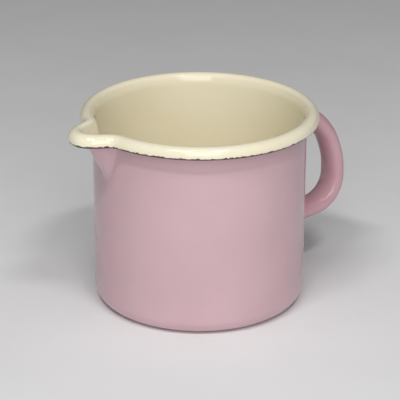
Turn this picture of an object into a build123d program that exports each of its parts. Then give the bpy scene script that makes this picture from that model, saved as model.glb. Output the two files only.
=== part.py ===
from build123d import *
import os
from math import cos, exp, radians, sin, sqrt

# Enamelled steel pouring pot with a pressed spout and a hollow handle.
# Frame: millimetres, +Z up, origin at the centre of the resting face.
# The spout points along -X, the handle stands on the +X side, and XZ is the mirror plane.

# ---- Driving dimensions -------------------------------------------------------------
INNER_D = 120.0                 # inside the finished wall, the size the pot is sold by
HEIGHT = 115.5                  # resting face to the top of the rolled lip
SHEET = 0.8                     # drawn steel
GROUND = 0.12                   # dark ground coat, on each side of the sheet
COVER = 0.23                    # coloured cover coat, on each side
SEAT_CUT = 0.03                 # the coat is rubbed flat where the pot stands

WALL = SHEET + 2 * (GROUND + COVER)
MID_R = INNER_D / 2 + WALL / 2  # middle of the sheet, on the straight wall
TOP_Z = HEIGHT - WALL / 2       # middle of the sheet, at the crest of the lip
BASE_Z = WALL / 2 - SEAT_CUT    # middle of the sheet, at the ring that the pot stands on

CORNER_R = 8.25                 # round between wall and base, middle of the sheet
CENTRE_R = 36.0                 # flat, slightly raised centre of the base
RING_R = 45.0                   # inner edge of the resting ring
CENTRE_RISE = 0.6

CREST_R = 64.05                 # crest of the lip, away from the spout
LIP_R = 3.74                    # roll of the lip, to the middle of the sheet
LIP_INNER_R = 3.0               # turn from the crest down into the wall
LIP_END = radians(-17.0)        # how far under the roll the sheet ends
EDGE_BEAD = radians(14.0)       # part of the roll taken up by the bare dark edge

SPOUT_REACH = 14.3              # how far the crest moves out at the spout's tip
SPOUT_HALF = radians(9.5)       # half width of the spout, as an angle at the pot's axis
SPOUT_POWER = 2.7               # how square-shouldered the spout is in plan
SPOUT_LIP_GAIN = 0.36           # the roll opens a little round the tip
CHANNEL_TURN = radians(62.0)    # slope of the pouring channel's floor
CHANNEL_FOOT = 45.0             # the spout leaves the wall round from here down
CREASE_FOOT = 6.0               # away from the spout, the wall is straight up to here
CREASE = 1.6                    # softness of the fold where channel and wall meet

HANDLE_HALF_T = 5.5             # finished half thickness, across the finger gap
HANDLE_HALF_W = 8.7             # finished half width
HANDLE_SHEET = 0.7
FOOT_DEPTH = 58.0               # the handle's line starts inside the wall, and is cut at it
UPPER_FOOT_Z = 99.3
LOWER_FOOT_Z = 37.5
WELD_H = 0.6                    # upset weld between a handle foot and the wall
VENT_R = 1.25                   # lets air out of the hollow handle when the enamel is fired
VENT_X = 71.0

# ---- How finely the curved pieces are built -----------------------------------------
SPOUT_SIDE = 32                 # degrees each side of the spout that are lofted
SPOUT_STEP = 2                  # degrees from one lofted section to the next
HANDLE_SPANS = 40               # section to section along the handle
DISC_LAP = 0.3                  # the centre disc reaches this far into the ring round it
DISC_EASE = 0.004               # and is this much thinner there on each face
TINY = 1e-4                     # step for slopes, as an angle or a share

# Line of the handle in the XZ plane, from the upper foot round to the lower foot.
HANDLE_LINE = [
    (FOOT_DEPTH, UPPER_FOOT_Z),
    (68.5, 98.8),
    (76.5, 95.8),
    (85.0, 88.0),
    (91.6, 75.5),
    (94.5, 61.5),
    (92.9, 49.5),
    (86.0, 41.3),
    (75.0, 38.2),
    (FOOT_DEPTH, LOWER_FOOT_Z),
]

# Distances from the middle of the sheet to each skin; outside is positive.
STEEL_SKIN = SHEET / 2
GROUND_SKIN = STEEL_SKIN + GROUND
FINISHED_SKIN = GROUND_SKIN + COVER
BARE_HALF_T = HANDLE_HALF_T - GROUND - COVER
BARE_HALF_W = HANDLE_HALF_W - GROUND - COVER
STEEL_R = MID_R + STEEL_SKIN    # outside of the bare steel wall
FINISHED_R = MID_R + FINISHED_SKIN

os.makedirs("parts", exist_ok=True)


# ---- Middle surface of the vessel's sheet -------------------------------------------
def mix(a, b, share):
    return a + (b - a) * share


def polar(turn, radius, z):
    """A point at an angle from the spout's axis."""
    return Vector(-radius * cos(turn), -radius * sin(turn), z)


def crest_radius(turn):
    """Plan of the lip's crest: a circle with the spout pressed out of it."""
    return CREST_R + SPOUT_REACH * exp(-((abs(turn) / SPOUT_HALF) ** SPOUT_POWER))


def crest_outward(turn):
    """Level unit vector square to the crest's plan."""
    ahead = polar(turn + TINY, crest_radius(turn + TINY), 0)
    behind = polar(turn - TINY, crest_radius(turn - TINY), 0)
    return (ahead - behind).normalized().cross(Vector(0, 0, 1))


def channel_run(depth):
    """How far inside the crest the sheet lies, at a depth below it, before it meets the wall."""
    straight_depth = LIP_INNER_R * (1 - cos(CHANNEL_TURN))
    if depth < straight_depth:
        return sqrt(max(0.0, LIP_INNER_R**2 - (LIP_INNER_R - depth) ** 2))
    straight = (depth - straight_depth) * cos(CHANNEL_TURN) / sin(CHANNEL_TURN)
    return LIP_INNER_R * sin(CHANNEL_TURN) + straight


def soft_min(a, b):
    """The smaller of two lengths, with the corner between them rounded."""
    if abs(a - b) >= CREASE:
        return min(a, b)
    return (a + b) / 2 - ((a - b) ** 2 + CREASE**2) / (4 * CREASE)


def wall_point(turn, depth):
    """The sheet at a depth below the crest: the round wall, or the spout's channel."""
    crest = crest_radius(turn)
    return polar(turn, crest - soft_min(channel_run(depth), crest - MID_R), TOP_Z - depth)


def base_centre(turn, share):
    """From the raised centre down to the resting ring."""
    fall = (1 - cos(radians(180) * share)) / 2
    return polar(turn, mix(CENTRE_R, RING_R, share), BASE_Z + CENTRE_RISE * (1 - fall))


def base_ring(turn, share):
    return polar(turn, mix(RING_R, MID_R - CORNER_R, share), BASE_Z)


def base_corner(turn, share):
    angle = radians(90) * share
    radius = MID_R - CORNER_R * (1 - sin(angle))
    return polar(turn, radius, BASE_Z + CORNER_R * (1 - cos(angle)))


def lower_wall(turn, share):
    return polar(turn, MID_R, mix(BASE_Z + CORNER_R, TOP_Z - CHANNEL_FOOT, share))


def upper_wall(turn, share):
    """Where the channel sinks in at the spout; elsewhere it is straight."""
    return wall_point(turn, mix(CHANNEL_FOOT, CREASE_FOOT, share))


def under_lip(turn, share):
    """The soft crease where the wall turns out towards the lip."""
    top_depth = LIP_INNER_R * (1 - cos(CHANNEL_TURN))
    return wall_point(turn, mix(CREASE_FOOT, top_depth, share))


def lip_inside(turn, share):
    angle = CHANNEL_TURN * (1 - share)
    return wall_point(turn, LIP_INNER_R * (1 - cos(angle)))


def lip_roll(turn, share, start=radians(90), end=LIP_END):
    """The roll turns square to the crest, so that the lip keeps its width round the spout."""
    gain = SPOUT_LIP_GAIN * (crest_radius(turn) - CREST_R) / SPOUT_REACH
    roll_r = LIP_R + gain
    angle = mix(start, end, share)
    centre = polar(turn, crest_radius(turn), TOP_Z - roll_r)
    return centre + crest_outward(turn) * (roll_r * cos(angle)) + Vector(0, 0, roll_r * sin(angle))


def edge_roll(turn, share):
    """The bare edge, past the end of the sheet."""
    return lip_roll(turn, share, LIP_END, LIP_END - EDGE_BEAD)


# Each segment with the number of its spans; a straight one has a single span.
VESSEL_PROFILE = [
    (base_centre, 6),
    (base_ring, 1),
    (base_corner, 6),
    (lower_wall, 1),
    (upper_wall, 14),
    (under_lip, 6),
    (lip_inside, 4),
    (lip_roll, 8),
]


# ---- Skins and layers of the vessel -------------------------------------------------
def skin_point(segment, turn, share, skin):
    """A point of the sheet's middle surface moved square to it by the skin's distance."""
    low = max(0.0, share - TINY)
    high = min(1.0, share + TINY)
    along = segment(turn, high) - segment(turn, low)
    around = segment(turn + TINY, share) - segment(turn - TINY, share)
    return segment(turn, share) + around.cross(along).normalized() * skin


def segment_points(segment, count, turn, skin):
    """Points close up at both ends of a segment, where the curvature changes."""
    shares = [(1 - cos(radians(180) * i / count)) / 2 for i in range(count + 1)]
    return [skin_point(segment, turn, share, skin) for share in shares]


def spacing(segment, count, skin):
    """Where each point lies along the segment behind the pot, as a share of its length."""
    points = segment_points(segment, count, radians(180), skin)
    run = [0.0]
    for a, b in zip(points, points[1:]):
        run.append(run[-1] + (b - a).length)
    return [r / run[-1] for r in run]


def outline(profile, turn, skin):
    """One skin of the section, an edge for each segment."""
    edges = []
    for segment, count in profile:
        points = segment_points(segment, count, turn, skin)
        if edges:
            points[0] = edges[-1] @ 1
        if count == 1:
            edges.append(Edge.make_line(*points))
        else:
            edges.append(Edge.make_spline(points, parameters=spacing(segment, count, skin)))
    return edges


def section(profile, turn, inner, outer):
    """Closed outline of one layer at this angle from the spout's axis."""
    outside = outline(profile, turn, outer)
    inside = outline(profile, turn, inner)
    lip_end = Edge.make_line(outside[-1] @ 1, inside[-1] @ 1)
    base_end = Edge.make_line(inside[0] @ 0, outside[0] @ 0)
    return Wire([*outside, lip_end, *reversed(inside), base_end])


def away_from_spout(profile):
    """The same profile with its upper wall as one straight span."""
    return [(segment, 1 if segment is upper_wall else count) for segment, count in profile]


def all_round(profile, inner, outer):
    """Lofted across the spout, and turned about the pot's axis everywhere else."""
    turns = [radians(angle) for angle in range(-SPOUT_SIDE, SPOUT_SIDE + 1, SPOUT_STEP)]
    spout = Solid.make_loft([section(profile, turn, inner, outer) for turn in turns])
    plain = Face(section(away_from_spout(profile), turns[-1], inner, outer))
    return spout.fuse(revolve(plain, Axis.Z, 360 - 2 * SPOUT_SIDE).solid())


def centre_disc(inner, outer):
    """Middle of the base; it reaches a little into the ring round it."""
    low = Plane.XY.offset(BASE_Z + CENTRE_RISE - outer + DISC_EASE)
    disc = extrude(low * Circle(CENTRE_R + DISC_LAP), outer - inner - 2 * DISC_EASE)
    return disc.solid()


def vessel_layer(inner, outer):
    return all_round(VESSEL_PROFILE, inner, outer).fuse(centre_disc(inner, outer)).clean()


# ---- Handle -------------------------------------------------------------------------
def handle_line():
    points = [Vector(x, 0, z) for x, z in HANDLE_LINE]
    return Edge.make_spline(points, tangents=[Vector(1, 0, 0), Vector(-1, 0, 0)])


def handle_planes():
    """Section planes along the handle: local x points away from the finger gap."""
    line = handle_line()
    planes = []
    for i in range(HANDLE_SPANS + 1):
        share = i / HANDLE_SPANS
        along = line.tangent_at(share)
        outward = Vector(0, 1, 0).cross(along) * -1
        planes.append(Plane(origin=line @ share, x_dir=outward, z_dir=along))
    return planes


def oval(plane, grow):
    """Outline of the handle's section; grow is measured from its bare steel."""
    return (plane * Ellipse(BARE_HALF_T + grow, BARE_HALF_W + grow)).wire()


def handle_rod(grow):
    """Solid rod as thick as one skin of the handle."""
    return Solid.make_loft([oval(plane, grow) for plane in handle_planes()])


def wall_cylinder(radius):
    return Cylinder(radius, HEIGHT, align=(Align.CENTER, Align.CENTER, Align.MIN)).solid()


def half_shell(start, end):
    """Half of the pressed steel tube, between two angles of its oval section."""
    inner_half_t = BARE_HALF_T - HANDLE_SHEET
    inner_half_w = BARE_HALF_W - HANDLE_SHEET
    outlines = []
    for plane in handle_planes():
        outside = Edge.make_ellipse(BARE_HALF_T, BARE_HALF_W, plane, start, end)
        inside = Edge.make_ellipse(inner_half_t, inner_half_w, plane, start, end)
        ends = [Edge.make_line(outside @ 1, inside @ 1), Edge.make_line(inside @ 0, outside @ 0)]
        outlines.append(Wire([outside, ends[0], inside, ends[1]]))
    return Solid.make_loft(outlines)


def vent_drill():
    drill = Cylinder(VENT_R, LOWER_FOOT_Z, align=(Align.CENTER, Align.CENTER, Align.MIN))
    return (Pos(VENT_X, 0, 0) * drill).solid()


# ---- The pieces ---------------------------------------------------------------------
def vessel_pieces():
    foot_opening = handle_rod(GROUND)
    seat = Pos(0, 0, -HEIGHT / 2) * Box(4 * INNER_D, 4 * INNER_D, HEIGHT)
    edge = [(edge_roll, 5)]
    return {
        "vessel_steel": vessel_layer(-STEEL_SKIN, STEEL_SKIN),
        "inside_ground_coat": vessel_layer(-GROUND_SKIN, -STEEL_SKIN),
        "inside_cream_enamel": vessel_layer(-FINISHED_SKIN, -GROUND_SKIN),
        "outside_ground_coat": vessel_layer(STEEL_SKIN, GROUND_SKIN) - foot_opening,
        "outside_pink_enamel": vessel_layer(GROUND_SKIN, FINISHED_SKIN) - foot_opening - seat,
        "lip_edge_ground_coat": all_round(edge, -GROUND_SKIN, GROUND_SKIN),
    }


def handle_pieces():
    weld_r = STEEL_R + WELD_H
    drill = vent_drill()
    return {
        "handle_outer_shell": half_shell(-90, 90) - wall_cylinder(weld_r) - drill,
        "handle_inner_shell": half_shell(90, 270) - wall_cylinder(weld_r),
        "handle_ground_coat": handle_rod(GROUND) - handle_rod(0) - wall_cylinder(weld_r) - drill,
        "handle_pink_enamel": (
            handle_rod(GROUND + COVER) - handle_rod(GROUND) - wall_cylinder(FINISHED_R) - drill
        ),
    }


def weld_pieces():
    """A ring of weld at each foot, between the handle's end and the wall."""
    ring = handle_rod(GROUND) - handle_rod(-HANDLE_SHEET - GROUND)
    rings = (ring & wall_cylinder(STEEL_R + WELD_H)) - wall_cylinder(STEEL_R)
    lower, upper = rings.solids().sort_by(Axis.Z)
    return {"upper_handle_weld": upper, "lower_handle_weld": lower}


for node, solid in {**vessel_pieces(), **handle_pieces(), **weld_pieces()}.items():
    export_step(solid, f"parts/{node}.step")
    print(node, len(solid.solids()), "solid", round(solid.volume), "mm3")
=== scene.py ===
# %% [markdown]
# # Enamelled pouring pot
# The object is a straight-walled pot drawn from one disc of steel, with its rim rolled outwards
# and a pouring spout pressed into it. A hollow steel handle is welded on opposite the spout.
# Everything is coated with glass: a dark ground coat first, then cream inside and pink outside.
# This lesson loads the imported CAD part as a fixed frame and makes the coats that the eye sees.

# %% Load the frame
from math import atan2, cos, exp, pi, radians, sin, sqrt

import bpy
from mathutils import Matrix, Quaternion, Vector


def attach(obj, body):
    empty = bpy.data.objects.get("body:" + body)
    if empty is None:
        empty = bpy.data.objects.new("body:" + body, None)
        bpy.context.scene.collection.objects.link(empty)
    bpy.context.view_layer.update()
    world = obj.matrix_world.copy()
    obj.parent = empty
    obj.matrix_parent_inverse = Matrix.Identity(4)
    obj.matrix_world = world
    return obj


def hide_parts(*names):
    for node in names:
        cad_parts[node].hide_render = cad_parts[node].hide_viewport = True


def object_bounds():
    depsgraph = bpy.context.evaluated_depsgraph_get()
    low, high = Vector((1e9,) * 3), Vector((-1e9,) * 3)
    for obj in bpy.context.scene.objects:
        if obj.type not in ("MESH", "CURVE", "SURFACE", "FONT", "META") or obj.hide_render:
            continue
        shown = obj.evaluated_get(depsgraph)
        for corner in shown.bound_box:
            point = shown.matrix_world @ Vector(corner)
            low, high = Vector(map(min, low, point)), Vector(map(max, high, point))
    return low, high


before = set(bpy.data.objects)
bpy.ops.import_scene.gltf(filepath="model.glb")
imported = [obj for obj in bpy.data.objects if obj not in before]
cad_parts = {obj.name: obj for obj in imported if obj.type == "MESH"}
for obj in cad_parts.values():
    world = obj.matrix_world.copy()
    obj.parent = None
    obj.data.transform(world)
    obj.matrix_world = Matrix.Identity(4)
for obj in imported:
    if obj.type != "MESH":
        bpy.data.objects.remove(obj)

cad_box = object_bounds()
print("CAD nodes:", sorted(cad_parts))
print("CAD box, mm:", [[round(1000 * c, 2) for c in corner] for corner in cad_box])

# %% [markdown]
# ## Sizes
# Blender works in metres here, and a maker thinks in millimetres, so the sizes are kept in
# millimetres and turned once, by mm(). The sheet is described by the surface in the middle of
# its thickness: each coat is then that surface, thickened from one distance to another.

# %% Sizes and helpers
SHEET = 0.8  # drawn steel
GROUND = 0.12  # ground coat on each side
COVER = 0.23  # coloured coat on each side
CLEAR = 0.005  # keeps the coats just inside the CAD box
STEEL_SKIN = SHEET / 2
GROUND_SKIN = STEEL_SKIN + GROUND
FINISHED_SKIN = GROUND_SKIN + COVER
MID_R = 60 + FINISHED_SKIN  # middle of the sheet on the straight wall
BASE_Z = FINISHED_SKIN - 0.03
TOP_Z = 1000 * cad_box[1].z - FINISHED_SKIN - CLEAR  # middle of the sheet at the rim's crest
FINISHED_R = MID_R + FINISHED_SKIN


def mm(*sizes):
    """Millimetres to metres: one number, or a tuple of them."""
    scaled = tuple(size / 1000 for size in sizes)
    return scaled if len(scaled) > 1 else scaled[0]


def rest():
    """Leaves edit mode if it is on, and selects nothing."""
    if bpy.context.object and bpy.context.object.mode != "OBJECT":
        bpy.ops.object.mode_set(mode="OBJECT")
    bpy.ops.object.select_all(action="DESELECT")


def take(piece):
    """Selects one piece and makes it the active one."""
    rest()
    piece.select_set(True)
    bpy.context.view_layer.objects.active = piece
    return piece


def edit(piece, kind="VERT"):
    """Opens a piece in edit mode with nothing selected."""
    take(piece)
    bpy.ops.object.mode_set(mode="EDIT")
    bpy.ops.mesh.select_mode(type=kind)
    bpy.ops.mesh.select_all(action="DESELECT")


def pick(piece, test):
    """Selects the vertices that pass a test of their place in millimetres, in edit mode."""
    bpy.ops.mesh.select_all(action="DESELECT")
    bpy.ops.object.mode_set(mode="OBJECT")
    for vertex in piece.data.vertices:
        vertex.select = test(vertex.co * 1000)
    bpy.ops.object.mode_set(mode="EDIT")


def copy_of(piece, name):
    """A copy with its own mesh."""
    made = piece.copy()
    made.data = piece.data.copy()
    made.name = made.data.name = name
    bpy.context.scene.collection.objects.link(made)
    return made


def apply(piece, kind, **settings):
    """Adds a modifier, sets it and applies it."""
    take(piece)
    modifier = piece.modifiers.new(kind.lower(), kind)
    for setting, value in settings.items():
        setattr(modifier, setting, value)
    bpy.ops.object.modifier_apply(modifier=modifier.name)


def finished(piece, nodes):
    """A finished piece rides on the pot and stands for its CAD nodes."""
    take(piece)
    bpy.ops.object.transform_apply(location=True, rotation=True, scale=True)
    bpy.ops.object.shade_smooth_by_angle(angle=radians(40))
    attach(piece, "root")
    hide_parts(*nodes)
    triangles = sum(len(face.vertices) - 2 for face in piece.data.polygons)
    print(piece.name, "triangles:", triangles)
    return piece


# %% [markdown]
# ## Camera
# The pot is seen from a little above, with the spout swung round to the left and towards the
# viewer. A long lens from over a metre away keeps the wall nearly upright and parallel.
# The camera is placed by two angles and a distance from a point on the pot's own axis.

# %% Camera
CAMERA_TURN = radians(-31.5)
CAMERA_RISE = radians(22.23)
CAMERA_DISTANCE = 1.109
CAMERA_ROLL = radians(0.25)
LENS = 171.2
AIM = Vector(mm(0, 0, 58.3))

level = Vector((sin(CAMERA_TURN), -cos(CAMERA_TURN), 0))
towards_camera = level * cos(CAMERA_RISE) + Vector((0, 0, sin(CAMERA_RISE)))

rest()
bpy.ops.object.camera_add(location=AIM + towards_camera * CAMERA_DISTANCE)
camera = bpy.context.object
camera.name = "camera"
camera.rotation_mode = "QUATERNION"
looking = (-towards_camera).to_track_quat("-Z", "Y")
camera.rotation_quaternion = looking @ Quaternion((0, 0, 1), CAMERA_ROLL)
camera.data.lens = LENS
camera.data.sensor_width = 36
camera.data.shift_x = 0.00168
camera.data.clip_end = 20
bpy.context.scene.camera = camera
print("camera at, mm:", [round(1000 * c) for c in camera.location])

# %% [markdown]
# ## Floor and light
# The pot stands on a plain white sheet that runs back out of sight. A broad soft panel above the
# camera lights the wall and the far side of the inside, and a weak one overhead lights the rim.
# Two narrow bright strips left and right give the pairs of short dashes on the rolled rim. The
# rest of the room is dim, so the round wall shades off towards its sides.


# %% Light
def around(turn, rise, distance):
    """A place at a turn from the camera's heading and a rise above the floor, round the pot."""
    heading = Quaternion((0, 0, 1), radians(turn)) @ level
    return AIM + distance * (heading * cos(radians(rise)) + Vector((0, 0, sin(radians(rise)))))


def panel(name, turn, rise, distance, width, height, radiance):
    """A rectangular lamp that faces the pot. Radiance is what a mirror would see of it."""
    rest()
    place = around(turn, rise, distance)
    bpy.ops.object.light_add(type="AREA", location=place)
    lamp = bpy.context.object
    lamp.name = name
    lamp.rotation_mode = "QUATERNION"
    lamp.rotation_quaternion = (AIM - place).to_track_quat("-Z", "Y")
    lamp.data.shape = "RECTANGLE"
    lamp.data.size = width
    lamp.data.size_y = height
    lamp.data.energy = radiance * pi * width * height
    print(name, "power, W:", round(lamp.data.energy, 2))
    return lamp


STRIP_RADIANCE = 36
STRIP_RISE = 57
panel("strip_left", -24, STRIP_RISE, 1.5, 0.46, 0.11, STRIP_RADIANCE)
panel("strip_right", 26, STRIP_RISE, 1.5, 0.32, 0.11, STRIP_RADIANCE)
panel("front_panel", 4, 26, 1.6, 0.9, 1.3, 3)
panel("top_panel", 6, 80, 1.5, 0.9, 0.9, 0.9)

ROOM_STRENGTH = 0.08
FLOOR_SIZE = 6
world = bpy.data.worlds.new("studio_room")
bpy.context.scene.world = world
world.use_nodes = True
room = world.node_tree.nodes["Background"]
room.inputs["Color"].default_value = (1, 1, 1, 1)
room.inputs["Strength"].default_value = ROOM_STRENGTH

rest()
bpy.ops.mesh.primitive_plane_add(size=FLOOR_SIZE, location=(0, 0, 0))
floor = bpy.context.object
floor.name = "floor"

bpy.context.scene.view_settings.view_transform = "Standard"

# %% [markdown]
# ## The vessel's sheet
# On the real pot the wall is drawn up from a flat disc and the rim is rolled over. The mesh is
# made the same way: one circle at the base, drawn outwards and upwards by extruding its edge
# ring and resizing it, level after level, so that every level is a clean ring.
# A spin of a profile would do too, but drawing rings keeps the seam closed by itself.

# %% Profile
CORNER_R = 8.25
BASE_RAISE = 0.6  # the base stands this much higher in its middle
RAISE_FROM, RAISE_TO = 45, 36  # radii between which the base rises
CREST_R = 64.05 - CLEAR  # crest of the rim, away from the spout
LIP_R = 3.74  # roll of the rim, to the middle of the sheet
LIP_INNER_R = 3.0  # turn from the crest down into the wall
COAT_END = radians(-17)  # the coloured coats stop here on the roll
EDGE_END = radians(-31)  # the bare dark edge goes on to here
CHANNEL_TURN = radians(62)
CHANNEL_FOOT = 45  # depth at which the spout has quite faded into the wall
CREASE = 1.6  # softness of the fold between spout and wall


def channel_run(depth):
    """How far in from the crest the sheet lies, at a depth below it."""
    turn_depth = LIP_INNER_R * (1 - cos(CHANNEL_TURN))
    if depth < turn_depth:
        return sqrt(max(0, LIP_INNER_R**2 - (LIP_INNER_R - depth) ** 2))
    slope = cos(CHANNEL_TURN) / sin(CHANNEL_TURN)
    return LIP_INNER_R * sin(CHANNEL_TURN) + (depth - turn_depth) * slope


def soft_min(a, b):
    """The smaller of two lengths, with the corner between them rounded."""
    if abs(a - b) >= CREASE:
        return min(a, b)
    return (a + b) / 2 - ((a - b) ** 2 + CREASE**2) / (4 * CREASE)


def roll_ring(turn):
    """A ring of the rolled rim, at an angle above level: 90 degrees is the crest."""
    return CREST_R + LIP_R * cos(turn), TOP_Z - LIP_R + LIP_R * sin(turn)


def sheet_profile():
    """Radius and height of each ring, from the base centre to the end of the rolled rim."""
    rings = [(18, BASE_Z + BASE_RAISE), (34, BASE_Z + BASE_RAISE)]
    for i in range(7):
        radius = RAISE_TO + (RAISE_FROM - RAISE_TO) * i / 6
        rings.append((radius, BASE_Z + BASE_RAISE / 2 * (1 + cos(pi * i / 6))))
    for i in range(11):
        turn = radians(90) * i / 10
        rings.append((MID_R - CORNER_R * (1 - sin(turn)), BASE_Z + CORNER_R * (1 - cos(turn))))
    rings += [(MID_R, BASE_Z + CORNER_R + 12 * i) for i in range(1, 5)]
    turn_depth = LIP_INNER_R * (1 - cos(CHANNEL_TURN))
    for i in range(35):
        depth = CHANNEL_FOOT + (turn_depth - CHANNEL_FOOT) * i / 34
        rings.append((CREST_R - soft_min(channel_run(depth), CREST_R - MID_R), TOP_Z - depth))
    for i in range(1, 9):
        depth = LIP_INNER_R * (1 - cos(CHANNEL_TURN * (1 - i / 8)))
        rings.append((CREST_R - channel_run(depth), TOP_Z - depth))
    rings += [roll_ring(radians(90) + (COAT_END - radians(90)) * i / 18) for i in range(1, 19)]
    return rings


EDGE_RINGS = [roll_ring(COAT_END + (EDGE_END - COAT_END) * i / 4) for i in range(5)]
print("rings in the profile:", len(sheet_profile()))

# %% [markdown]
# ## Drawing the sheet
# Two small helpers do the drawing: one pulls the edge ring up level by level, and one makes sure
# that the surface faces away from the steel, which decides where each coat will lie.

# %% Draw the sheet up from a disc
AROUND = 256


def draw_rings(name, rings, middle):
    """A surface drawn out ring by ring from the first; middle is NOTHING or a TRIFAN disc."""
    radius, height = rings[0]
    rest()
    bpy.ops.mesh.primitive_circle_add(vertices=AROUND, radius=mm(radius), fill_type=middle)
    sheet = bpy.context.object
    sheet.name = sheet.data.name = name
    edit(sheet)
    bpy.ops.mesh.select_all(action="SELECT")
    bpy.ops.transform.translate(value=(0, 0, mm(height)))
    pick(sheet, lambda place: place.xy.length > radius / 2)
    for next_radius, next_height in rings[1:]:
        bpy.ops.mesh.extrude_edges_move(
            TRANSFORM_OT_translate={"value": (0, 0, mm(next_height - height))}
        )
        ratio = next_radius / radius
        bpy.ops.transform.resize(value=(ratio, ratio, 1), center_override=(0, 0, mm(next_height)))
        radius, height = next_radius, next_height
    rest()
    print(name, "vertices:", len(sheet.data.vertices), "faces:", len(sheet.data.polygons))
    return sheet


def face_outwards(sheet, towards):
    """Turns the whole surface over if its last face looks away from a direction."""
    edit(sheet)
    bpy.ops.mesh.select_all(action="SELECT")
    bpy.ops.mesh.normals_make_consistent(inside=False)
    rest()
    last = sheet.data.polygons[-1]
    if last.normal.dot(towards(last.center)) < 0:
        edit(sheet)
        bpy.ops.mesh.select_all(action="SELECT")
        bpy.ops.mesh.flip_normals()
        rest()


# %% [markdown]
# ## The spout
# A punch pushes the rim outwards against a rounded die, and a channel sinks into the wall below
# it. Proportional editing can push a rim out, but it can't hold the lip's width or the crisp
# fold where the channel meets the round wall. So the spout is pressed by a rule instead: each
# point keeps its place on the lip, and below it the sheet follows the channel or the wall,
# whichever is further out from the axis.

# %% Press the spout
SPOUT_REACH = 14.3  # how far the crest moves out at the tip
SPOUT_HALF = radians(9.5)  # half width, as an angle at the axis
SPOUT_POWER = 2.7  # how square-shouldered it is in plan
SPOUT_LIP_GAIN = 0.36  # the roll opens a little round the tip
GATHER = 0.55  # draws the mesh together round the spout
FAR_FROM_EDGE = 99  # stands for anywhere that isn't on the roll


def bulge(turn):
    """How far the rim is pushed out at a turn, as a share of the full reach."""
    return exp(-((abs(turn) / SPOUT_HALF) ** SPOUT_POWER))


def crest(turn):
    """A point of the crest in plan, at a turn from the spout's axis, which is -X."""
    radius = CREST_R + SPOUT_REACH * bulge(turn)
    return Vector((-radius * cos(turn), -radius * sin(turn), 0))


def press_spout(sheet):
    """Moves each vertex of the round sheet to its place on the sheet with the spout."""
    to_edge = sheet.data.attributes.new("to_edge", "FLOAT", "POINT")
    centre_z = TOP_Z - LIP_R
    for vertex in sheet.data.vertices:
        place = vertex.co * 1000
        radius, even = place.xy.length, Vector((-place.x, -place.y)).angle_signed((1, 0), 0)
        turn = even - GATHER * sin(even)
        rim = crest(turn)
        to_edge.data[vertex.index].value = FAR_FROM_EDGE
        if radius > CREST_R + 1e-4:
            roll_turn = atan2(place.z - centre_z, radius - CREST_R)
            to_edge.data[vertex.index].value = LIP_R * (roll_turn - COAT_END)
            along = (crest(turn + 1e-4) - crest(turn - 1e-4)).normalized()
            outwards = along.cross(Vector((0, 0, 1)))
            opened = 1 + bulge(turn) * SPOUT_LIP_GAIN / LIP_R
            vertex.co = (rim + outwards * (radius - CREST_R) * opened) / 1000
            vertex.co.z = mm(TOP_Z - (TOP_Z - place.z) * opened)
        elif place.z > TOP_Z - CHANNEL_FOOT - 1e-3 and radius > MID_R - 1:
            depth = TOP_Z - place.z
            inwards = soft_min(channel_run(depth), rim.length - MID_R)
            vertex.co = rim.normalized() * (rim.length - inwards) / 1000
            vertex.co.z = mm(place.z)
        else:
            vertex.co.x = mm(-radius * cos(turn))
            vertex.co.y = mm(-radius * sin(turn))
    return sheet


def back_into_roll(centre):
    """The underside of the roll looks back at the middle of the roll."""
    outwards = Vector(centre.xy).normalized() * mm(CREST_R)
    return Vector((outwards.x, outwards.y, mm(TOP_Z - LIP_R))) - centre


coat_sheet = draw_rings("coat_sheet", sheet_profile(), "TRIFAN")
face_outwards(coat_sheet, back_into_roll)
press_spout(coat_sheet)
low = min(vertex.co.x for vertex in coat_sheet.data.vertices)
print("spout tip of the sheet, mm:", round(1000 * low, 2))

# %% [markdown]
# ## The coats
# Each coat of glass is a skin of its own on the steel. Solidify thickens the sheet from one
# distance to another, so the coats lie on each other with no gap.


# %% Coats
def coat(sheet, name, inner, outer, nodes):
    """A skin that fills the space between two distances from the middle of the sheet."""
    skin = copy_of(sheet, name)
    apply(
        skin,
        "SOLIDIFY",
        thickness=mm(outer - inner),
        offset=(outer + inner) / (outer - inner),
        use_even_offset=True,
        use_quality_normals=True,
    )
    edit(skin)
    pick(skin, lambda place: place.z < 0)
    bpy.ops.transform.resize(value=(1, 1, 0), center_override=(0, 0, 0))
    return finished(skin, nodes)


pink_coat = coat(
    coat_sheet,
    "outside_pink_coat",
    GROUND_SKIN,
    FINISHED_SKIN,
    ["outside_pink_enamel"],
)
cream_coat = coat(
    coat_sheet,
    "inside_cream_coat",
    -FINISHED_SKIN,
    -GROUND_SKIN,
    ["inside_cream_enamel"],
)
dark_outside = coat(
    coat_sheet,
    "outside_dark_coat",
    STEEL_SKIN,
    GROUND_SKIN,
    ["outside_ground_coat"],
)
dark_inside = coat(
    coat_sheet,
    "inside_dark_coat",
    -GROUND_SKIN,
    -STEEL_SKIN,
    ["inside_ground_coat"],
)
bpy.data.objects.remove(coat_sheet)

# %% [markdown]
# ## The bare edge
# The coloured glass draws back from the sheet's end as it melts and leaves a thin, uneven dark
# line of ground coat there. It is one more strip of rings, pressed like the rest, thickened to
# wrap the steel, and rounded with a bevel.

# %% Edge
bare_edge = draw_rings("bare_edge", EDGE_RINGS, "NOTHING")
face_outwards(bare_edge, back_into_roll)
press_spout(bare_edge)
apply(bare_edge, "SOLIDIFY", thickness=mm(2 * GROUND_SKIN), offset=0, use_even_offset=True)
apply(bare_edge, "BEVEL", width=mm(0.32), segments=3, limit_method="ANGLE")
finished(bare_edge, ["lip_edge_ground_coat"])

# %% [markdown]
# ## The handle
# It is two pressed half shells of thin steel joined along their edges into an oval tube, bent
# wide at the fingers and closed at both feet against the wall. An oval swept along a curve
# gives the tube in one go, and the curve keeps the bend smooth where extruded steps would show.

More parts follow.
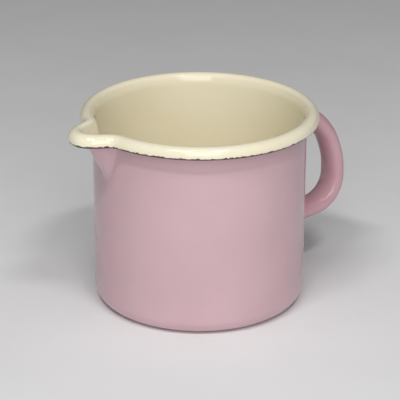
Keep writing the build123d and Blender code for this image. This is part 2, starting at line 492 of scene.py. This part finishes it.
# %% Handle tube
HANDLE_LINE = [
    (58, 99.3),
    (68.5, 98.8),
    (76.5, 95.8),
    (85, 88),
    (91.6, 75.5),
    (94.42, 61.5),
    (92.9, 49.5),
    (86, 41.3),
    (75, 38.2),
    (58, 37.5),
]
HANDLE_HALF_T = 5.5
HANDLE_HALF_W = 8.7
HANDLE_SHEET = 0.7

rest()
bpy.ops.curve.primitive_bezier_circle_add(radius=mm(HANDLE_HALF_W))
oval = bpy.context.object
oval.name = "handle_oval"
oval.data.resolution_u = 16
take(oval)
bpy.ops.object.mode_set(mode="EDIT")
bpy.ops.curve.select_all(action="SELECT")
bpy.ops.transform.resize(value=(1, HANDLE_HALF_T / HANDLE_HALF_W, 1), center_override=(0, 0, 0))

rest()
bpy.ops.curve.primitive_bezier_curve_add(radius=mm(10))
handle_curve = bpy.context.object
handle_curve.name = "handle_line"
line = handle_curve.data.splines[0]
line.bezier_points.add(len(HANDLE_LINE) - len(line.bezier_points))
for point, (x, z) in zip(line.bezier_points, HANDLE_LINE):
    point.co = mm(x, 0, z)
    point.handle_left_type = point.handle_right_type = "AUTO"
handle_curve.data.resolution_u = 14
handle_curve.data.bevel_mode = "OBJECT"
handle_curve.data.bevel_object = oval
take(handle_curve)
bpy.ops.object.convert(target="MESH")
tube = bpy.context.object
tube.name = "handle_tube"
bpy.data.objects.remove(oval)
print("tube box, mm:", [[round(1000 * c, 1) for c in corner] for corner in tube.bound_box][::6])

# %% [markdown]
# ## The handle's feet
# At each foot the tube butts against the wall, and the glass gathers in the corner as a small
# hollow fillet. The tube is cut off short of the wall, and its end ring is extruded on in
# steps that widen along a quarter circle. The end is then wrapped onto the round wall.

# %% Feet
FOOT_FILLET = 1.8
WRAP_REACH = 7  # the wrapping fades out this far from the wall
foot_x = FINISHED_R - 0.06

edit(tube)
bpy.ops.mesh.select_all(action="SELECT")
bpy.ops.mesh.bisect(
    plane_co=mm(foot_x + FOOT_FILLET, 0, 0), plane_no=(1, 0, 0), clear_inner=True, threshold=1e-6
)
for upper in (True, False):
    cut_x = foot_x + FOOT_FILLET + 0.02
    pick(tube, lambda place: place.x < cut_x and (place.z > HANDLE_LINE[5][1]) == upper)
    bpy.ops.object.mode_set(mode="OBJECT")
    ring = [vertex.co.z for vertex in tube.data.vertices if vertex.select]
    middle_z = (min(ring) + max(ring)) / 2
    bpy.ops.object.mode_set(mode="EDIT")
    x, half = foot_x + FOOT_FILLET, HANDLE_HALF_T
    for step in range(1, 7):
        turn = radians(90) * step / 6
        next_x = foot_x + FOOT_FILLET * (1 - sin(turn))
        next_half = HANDLE_HALF_T + FOOT_FILLET * (1 - cos(turn))
        bpy.ops.mesh.extrude_edges_move(TRANSFORM_OT_translate={"value": mm(next_x - x, 0, 0)})
        wider = (next_half + HANDLE_HALF_W - HANDLE_HALF_T) / (half + HANDLE_HALF_W - HANDLE_HALF_T)
        bpy.ops.transform.resize(
            value=(1, wider, next_half / half), center_override=(mm(next_x), 0, middle_z)
        )
        x, half = next_x, next_half
rest()
for vertex in tube.data.vertices:
    y = 1000 * vertex.co.y
    fall = foot_x - sqrt(foot_x**2 - y**2)
    fade = max(0, 1 - (1000 * vertex.co.x - foot_x) / WRAP_REACH)
    vertex.co.x -= mm(fall * fade)
edit(tube)
bpy.ops.mesh.select_all(action="SELECT")
bpy.ops.mesh.normals_make_consistent(inside=False)
rest()
print("handle tube faces:", len(tube.data.polygons))

# %% [markdown]
# ## The handle's skins
# The same tube, thickened inwards from one depth to another, gives the pink coat, the dark coat
# under it and the steel. The steel is split into its two half shells by which way each face
# looks: away from the finger gap, or into it. A small drilled hole under the lower foot lets
# the air out when the glass is fired, and a boolean cut makes it.

# %% Handle skins
VENT_R = 1.25
VENT_X = 71
gap_centre = Vector(mm(70, 0, 67))


def half_of(piece, name, outer):
    """The half of a tube that looks away from the finger gap, or the one that looks into it."""
    half = copy_of(piece, name)
    edit(half, "FACE")
    bpy.ops.object.mode_set(mode="OBJECT")
    for face in half.data.polygons:
        away = (face.center - gap_centre) * Vector((1, 0, 1))
        face.select = (face.normal.dot(away) > 0) != outer
    bpy.ops.object.mode_set(mode="EDIT")
    bpy.ops.mesh.delete(type="FACE")
    rest()
    return half


rest()
bpy.ops.mesh.primitive_cylinder_add(
    vertices=48, radius=mm(VENT_R), depth=mm(20), location=mm(VENT_X, 0, 27)
)
drill = bpy.context.object
drill.name = "drill"
steel_depth = COVER + GROUND
shell_depth = steel_depth + HANDLE_SHEET
outer_half = half_of(tube, "outer_half", True)
inner_half = half_of(tube, "inner_half", False)
handle_coat = coat(tube, "handle_pink_coat", -COVER, 0, ["handle_pink_enamel"])
handle_dark = coat(
    tube, "handle_dark_coat", -steel_depth, -COVER, ["handle_ground_coat"]
)
outer_shell = coat(
    outer_half, "handle_outer_half", -shell_depth, -steel_depth, ["handle_outer_shell"]
)
inner_shell = coat(
    inner_half, "handle_inner_half", -shell_depth, -steel_depth, ["handle_inner_shell"]
)
for skin in (handle_coat, handle_dark, outer_shell):
    apply(skin, "BOOLEAN", operation="DIFFERENCE", object=drill, solver="EXACT")
    print(skin.name, "faces after drilling:", len(skin.data.polygons))
for spare in (drill, outer_half, inner_half, tube):
    bpy.data.objects.remove(spare)

# %% [markdown]
# ## Finishes
# Each finish is named for what it is. Vitreous enamel is a thin layer of coloured glass: the
# colour sits in the body of the glass, and the surface is smooth and shiny because it flowed
# in the kiln. It keeps a faint long ripple from the sprayed slip, and a finer orange peel.
# Colours are given as sRGB hex and turned to linear once.


# %% Finish helpers
def linear(code):
    """An sRGB hex colour as the linear colour that shaders take."""
    parts = [int(code[i : i + 2], 16) / 255 for i in (0, 2, 4)]
    return [p / 12.92 if p <= 0.04045 else ((p + 0.055) / 1.055) ** 2.4 for p in parts] + [1]


def node(material, kind, sockets=None, **settings):
    """Adds a node, sets its options, and fills its sockets with values or links."""
    made = material.node_tree.nodes.new("ShaderNode" + kind)
    for setting, value in settings.items():
        setattr(made, setting, value)
    for socket, value in (sockets or {}).items():
        if isinstance(value, bpy.types.NodeSocket):
            material.node_tree.links.new(value, made.inputs[socket])
        else:
            made.inputs[socket].default_value = value
    return made


def finish_of(name, roughness, ior=1.5, metallic=0):
    """A new finish with its main values on the shader's own sockets."""
    material = bpy.data.materials.new(name)
    material.use_nodes = True
    shader = material.node_tree.nodes["Principled BSDF"]
    shader.inputs["Roughness"].default_value = roughness
    shader.inputs["Metallic"].default_value = metallic
    if not metallic:
        shader.inputs["IOR"].default_value = ior
    return material, shader


def noise_of(material, size, detail=2, roughness=0.5):
    """A cloudy pattern whose lumps are about this many millimetres across."""
    place = node(material, "TexCoord").outputs["Object"]
    sockets = {"Vector": place, "Scale": 1000 / size, "Detail": detail, "Roughness": roughness}
    return node(material, "TexNoise", sockets).outputs["Fac"]


def mix(material, share, first, second):
    """Two colours mixed by a share from 0 to 1."""
    made = node(material, "Mix", {0: share, 6: first, 7: second}, data_type="RGBA")
    return made.outputs[2]


def ranged(material, value, low, high, to_low=0.0, to_high=1.0):
    """A value carried from one range to another, with soft ends."""
    sockets = {"Value": value, 1: low, 2: high, 3: to_low, 4: to_high}
    return node(material, "MapRange", sockets, interpolation_type="SMOOTHSTEP").outputs[0]


def relief(material, shader, layers):
    """Bumps the surface by patterns, each with its height in millimetres."""
    normal = None
    for pattern, height in layers:
        sockets = {"Height": pattern, "Distance": mm(height), "Strength": 1.0}
        if normal:
            sockets["Normal"] = normal
        normal = node(material, "Bump", sockets).outputs["Normal"]
    material.node_tree.links.new(normal, shader.inputs["Normal"])


# %% [markdown]
# ## Enamel
# Coloured glass that flowed in the kiln is almost mirror smooth, so its roughness is very low, and
# its IOR is that of common glass. Two ripples are in it: a long one, left by the sprayed slip,
# and a fine orange peel. A slight cloudiness keeps the colour from being flat. Near the
# sheet's edge the cream draws back in a ragged line, and the distance to the edge is stored on
# the mesh so that the line follows it.

# %% Enamel
CLOUD_SIZE = 34
RIPPLE_SIZE, RIPPLE_HEIGHT = 16, 0.07
PEEL_SIZE, PEEL_HEIGHT = 1.6, 0.0015
FRAY_SIZE = 2.6
BARE_GROUND = "4A3634"


def enamel(name, body, cloudy, ragged):
    """Glass over steel; ragged tells how far the dark ground shows through along the edge."""
    material, shader = finish_of(name, 0.03, ior=1.52)
    clouds = ranged(material, noise_of(material, CLOUD_SIZE, detail=3), 0.3, 0.7)
    colour = mix(material, clouds, linear(body), linear(cloudy))
    if ragged:
        edge = node(material, "Attribute", attribute_name="to_edge").outputs["Fac"]
        fray = noise_of(material, FRAY_SIZE, detail=5, roughness=0.65)
        reach = ranged(material, fray, 0.42, 0.68, 0.0, ragged)
        inside = node(material, "Math", {0: edge, 1: reach}, operation="SUBTRACT").outputs[0]
        bare = ranged(material, inside, -0.1, 0.12, 1.0, 0.0)
        colour = mix(material, bare, colour, linear(BARE_GROUND))
    material.node_tree.links.new(colour, shader.inputs["Base Color"])
    ripple = (noise_of(material, RIPPLE_SIZE, detail=1), RIPPLE_HEIGHT)
    peel = (noise_of(material, PEEL_SIZE, detail=1), PEEL_HEIGHT)
    relief(material, shader, [ripple, peel])
    return material


# Opaque soft pink glass: a wet-looking shine over a pale, even colour.
pink = enamel("pink vitreous enamel on drawn steel", "D4B2BA", "D0AEB6", 0)
# The same pink glass, a little deeper in colour on the handle: painted shade, standing for the
# darker, more saturated light that the handle gets from the wall beside it.
handle_pink = enamel("thicker pink vitreous enamel on a handle", "D0A5AE", "CBA0A9", 0)
# Opaque cream glass: bright and warm, with a dark frayed line where it ends under the lip.
cream = enamel("cream vitreous enamel on drawn steel", "F8F0D6", "F5ECCF", 0.7)

# %% [markdown]
# ## Ground coat
# The first coat bonds to the steel. It is dark from its metal oxides, less shiny than the cover
# coats, and shows only as a thin line under the lip and inside the vent hole.

# %% Ground coat
ground, ground_shader = finish_of("dark cobalt ground coat enamel", 0.3, ior=1.52)
spots = ranged(ground, noise_of(ground, 3.2, detail=4, roughness=0.6), 0.5, 0.62)
ground_colour = mix(ground, spots, linear("3A2C2E"), linear("6E5254"))
ground.node_tree.links.new(ground_colour, ground_shader.inputs["Base Color"])
relief(ground, ground_shader, [(noise_of(ground, 1.1, detail=3), 0.03)])

# %% [markdown]
# ## Steel and weld
# Sheet steel is pickled in acid before it is coated, which leaves it grey and evenly dull. The
# weld is rougher, and browned by heat. Both are under glass on the finished pot.

# %% Steel and weld
steel, steel_shader = finish_of("pickled cold rolled steel", 0.42, metallic=1)
steel_cloud = ranged(steel, noise_of(steel, 6, detail=4), 0.35, 0.65)
steel_colour = mix(steel, steel_cloud, linear("8E9092"), linear("A3A5A6"))
steel.node_tree.links.new(steel_colour, steel_shader.inputs["Base Color"])
relief(steel, steel_shader, [(noise_of(steel, 0.8, detail=3), 0.01)])

weld, weld_shader = finish_of("resistance welded steel", 0.5, metallic=1)
weld_cloud = ranged(weld, noise_of(weld, 2, detail=3), 0.4, 0.6)
weld_colour = mix(weld, weld_cloud, linear("5C5A5C"), linear("8A7F74"))
weld.node_tree.links.new(weld_colour, weld_shader.inputs["Base Color"])
relief(weld, weld_shader, [(noise_of(weld, 0.7, detail=3), 0.04)])

# %% [markdown]
# ## Floor sheet
# Matt background paper scatters light evenly and has almost no shine, so its specular level is
# low. The faint cloudiness stands for the fibre, drawn far coarser than it is so that it shows.

# %% Floor sheet
paper, paper_shader = finish_of("matt white background sheet", 0.7)
fibre = ranged(paper, noise_of(paper, 60, detail=2), 0.3, 0.7)
paper_colour = mix(paper, fibre, linear("F3F3F3"), linear("F1F1F1"))
paper.node_tree.links.new(paper_colour, paper_shader.inputs["Base Color"])
paper_shader.inputs["Specular IOR Level"].default_value = 0.1


# %% [markdown]
# ## Finishes onto pieces
# Each piece takes one finish. The steel and the two welds are still the CAD's own meshes, so
# only their material slots are filled.

# %% Give each piece its finish
def wear(piece, material):
    """The piece wears this finish and no other."""
    piece.data.materials.clear()
    piece.data.materials.append(material)


wear(pink_coat, pink)
wear(handle_coat, handle_pink)
wear(cream_coat, cream)
wear(bare_edge, ground)
wear(dark_outside, ground)
wear(dark_inside, ground)
wear(handle_dark, ground)
wear(outer_shell, steel)
wear(inner_shell, steel)
wear(floor, paper)
for name, material in {
    "vessel_steel": steel,
    "upper_handle_weld": weld,
    "lower_handle_weld": weld,
}.items():
    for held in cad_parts[name].material_slots:
        held.material = material
